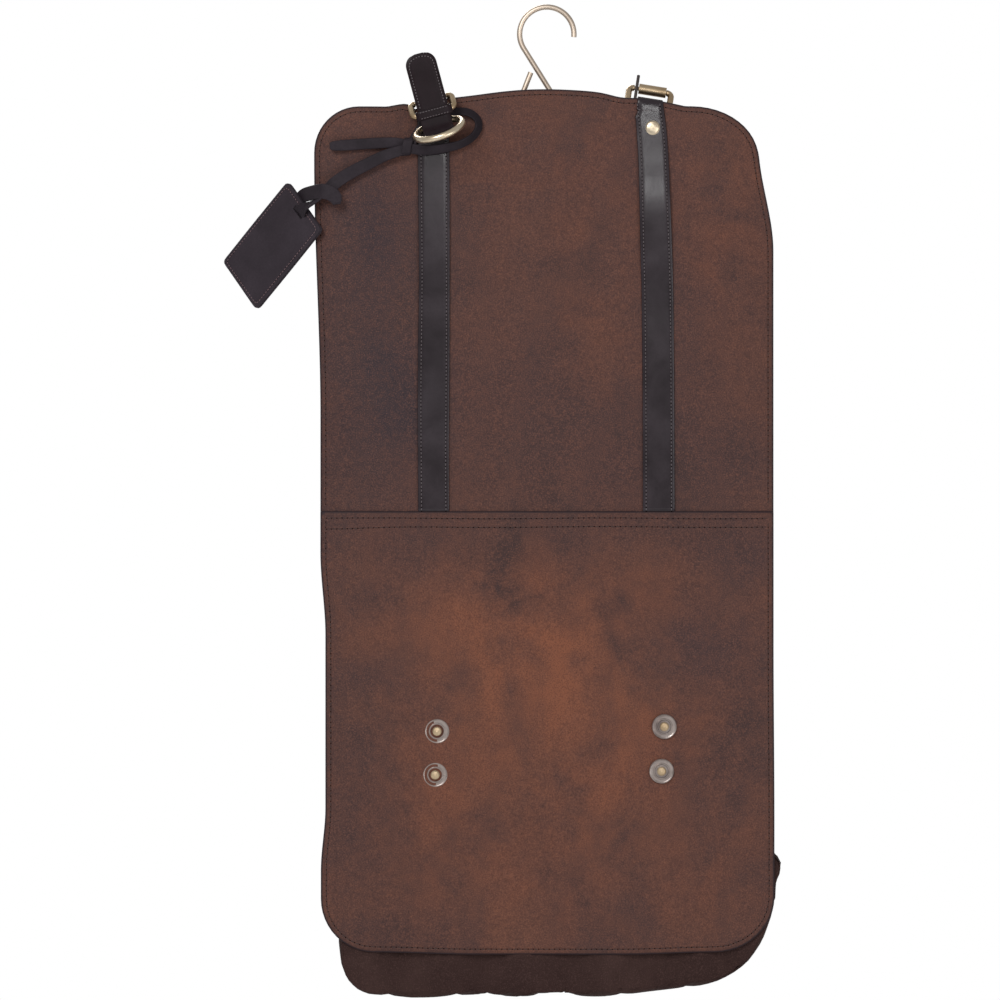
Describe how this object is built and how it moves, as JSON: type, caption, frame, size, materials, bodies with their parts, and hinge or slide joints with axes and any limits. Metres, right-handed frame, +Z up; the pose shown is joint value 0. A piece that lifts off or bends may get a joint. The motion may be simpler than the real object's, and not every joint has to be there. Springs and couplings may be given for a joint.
{
  "type": "garment bag",
  "caption": "Fold-in-half garment bag, hanging open: leather front with straps, roller buckles and snap studs over a zipped canvas body, with a wire hook and a luggage tag.",
  "frame": {"origin": "highest point of the hook's inner curve, where the hook rests on a rail, in the plane of the hook", "axes": "+Z up, the leather front faces -Y, +X to the right of someone who looks at the front"},
  "size_m": [0.6083, 0.1576, 1.091],
  "materials": {
    "leather": "waxed pull-up leather, matt, mottled",
    "strap_leather": "smooth bridle leather, semi-gloss",
    "canvas": "waxed canvas, fine weave",
    "lining": "twill lining",
    "webbing": "woven tape",
    "antique_brass": "brushed antique brass",
    "dark_steel": "blackened nickel",
    "board": "fibre board",
    "clear": "clear film",
    "card": "blank card"
  },
  "bodies": {
    "upper": {"upper_leather": "leather", "upper_lining": "lining", "upper_gusset": "canvas", "upper_back": "canvas", "top_stiffener": "board", "hanger_loop": "webbing", "hook_tab": "strap_leather", "tab_rivets": "antique_brass", "tab_burrs": "dark_steel", "left_strap": "strap_leather", "right_strap": "strap_leather", "strap_rivets": "antique_brass", "strap_burrs": "dark_steel", "lace_loop": "strap_leather", "upper_zip_tapes": "webbing", "upper_zip_chain": "antique_brass", "upper_zip_stop": "antique_brass"},
    "hook": {"hook": "antique_brass"},
    "left_buckle": {"left_buckle_frame": "antique_brass"},
    "left_roller": {"left_roller": "antique_brass"},
    "left_prong": {"left_prong": "dark_steel"},
    "closure": {"closure_strap": "strap_leather", "closure_keeper": "strap_leather", "closure_snaps": "antique_brass"},
    "ring": {"o_ring": "antique_brass"},
    "right_buckle": {"right_buckle_frame": "antique_brass"},
    "right_roller": {"right_roller": "antique_brass"},
    "right_prong": {"right_prong": "dark_steel"},
    "lace": {"lace_tail": "strap_leather", "lace_run": "strap_leather"},
    "tag": {"tag_front": "strap_leather", "tag_back": "strap_leather", "tag_window": "clear", "tag_card": "card"},
    "upper_slider": {"upper_slider": "antique_brass"},
    "upper_pull": {"upper_pull": "antique_brass"},
    "lower": {"lower_leather": "leather", "lower_front_canvas": "canvas", "lower_gusset": "canvas", "lower_back": "canvas", "stud_bases": "antique_brass", "stud_posts": "antique_brass", "stud_backings": "dark_steel", "lower_zip_tapes": "webbing", "lower_zip_chain": "antique_brass", "lower_zip_stop": "antique_brass"},
    "lower_slider": {"lower_slider": "antique_brass"},
    "lower_pull": {"lower_pull": "antique_brass"}
  },
  "joints": [
    {"name": "fold", "type": "hinge", "parent": "upper", "child": "lower", "pos_m": [0, 0.0055, -0.57], "axis": [1, 0, 0], "range_deg": [0, 178]},
    {"name": "hook_swing", "type": "hinge", "parent": "upper", "child": "hook", "pos_m": [0, 0, -0.1105], "axis": [1, 0, 0], "range_deg": [-150, 10]},
    {"name": "left_buckle_swing", "type": "hinge", "parent": "upper", "child": "left_buckle", "pos_m": [-0.128, -0.0528, -0.102], "axis": [0.9659, 0, 0.2588], "range_deg": [-40, 0]},
    {"name": "left_roller_spin", "type": "hinge", "parent": "left_buckle", "child": "left_roller", "pos_m": [-0.12418, -0.07171, -0.11627], "axis": [0.9659, 0, 0.2588], "continuous": true},
    {"name": "left_prong_swing", "type": "hinge", "parent": "left_buckle", "child": "left_prong", "pos_m": [-0.128, -0.0528, -0.102], "axis": [0.9659, 0, 0.2588], "range_deg": [0, 60]},
    {"name": "closure_swing", "type": "hinge", "parent": "left_buckle", "child": "closure", "pos_m": [-0.12418, -0.07171, -0.11627], "axis": [0.9659, 0, 0.2588], "range_deg": [-25, 28]},
    {"name": "ring_swing", "type": "hinge", "parent": "closure", "child": "ring", "pos_m": [-0.12117, -0.06931, -0.12748], "axis": [-0.9659, 0, -0.2588], "range_deg": [-38, 8]},
    {"name": "right_buckle_swing", "type": "hinge", "parent": "upper", "child": "right_buckle", "pos_m": [0.1113, -0.0393, -0.108], "axis": [0.9877, 0, -0.1564], "range_deg": [-36, 14]},
    {"name": "right_roller_spin", "type": "hinge", "parent": "right_buckle", "child": "right_roller", "pos_m": [0.11409, -0.02324, -0.09038], "axis": [0.9877, 0, -0.1564], "continuous": true},
    {"name": "right_prong_swing", "type": "hinge", "parent": "right_buckle", "child": "right_prong", "pos_m": [0.1113, -0.0393, -0.108], "axis": [0.9877, 0, -0.1564], "range_deg": [0, 35]},
    {"name": "lace_swing", "type": "hinge", "parent": "upper", "child": "lace", "pos_m": [-0.156, -0.0525, -0.1535], "axis": [0, 1, 0], "range_deg": [0, 30]},
    {"name": "tag_swing", "type": "hinge", "parent": "lace", "child": "tag", "pos_m": [-0.27265, -0.03009, -0.22544], "axis": [0, 1, 0], "range_deg": [0, 40]},
    {"name": "upper_zip", "type": "slide", "parent": "upper", "child": "upper_slider", "axis": [0, 0, -1], "range_m": [0, 0.285]},
    {"name": "upper_pull_swing", "type": "hinge", "parent": "upper_slider", "child": "upper_pull", "pos_m": [0, -0.0019, -0.216], "axis": [1, 0, 0], "range_deg": [0, 170]},
    {"name": "lower_zip", "type": "slide", "parent": "lower", "child": "lower_slider", "axis": [0, 0, 1], "range_m": [0, 0.36]},
    {"name": "lower_pull_swing", "type": "hinge", "parent": "lower_slider", "child": "lower_pull", "pos_m": [0, -0.0019, -1.028], "axis": [1, 0, 0], "range_deg": [0, 170]}
  ]
}
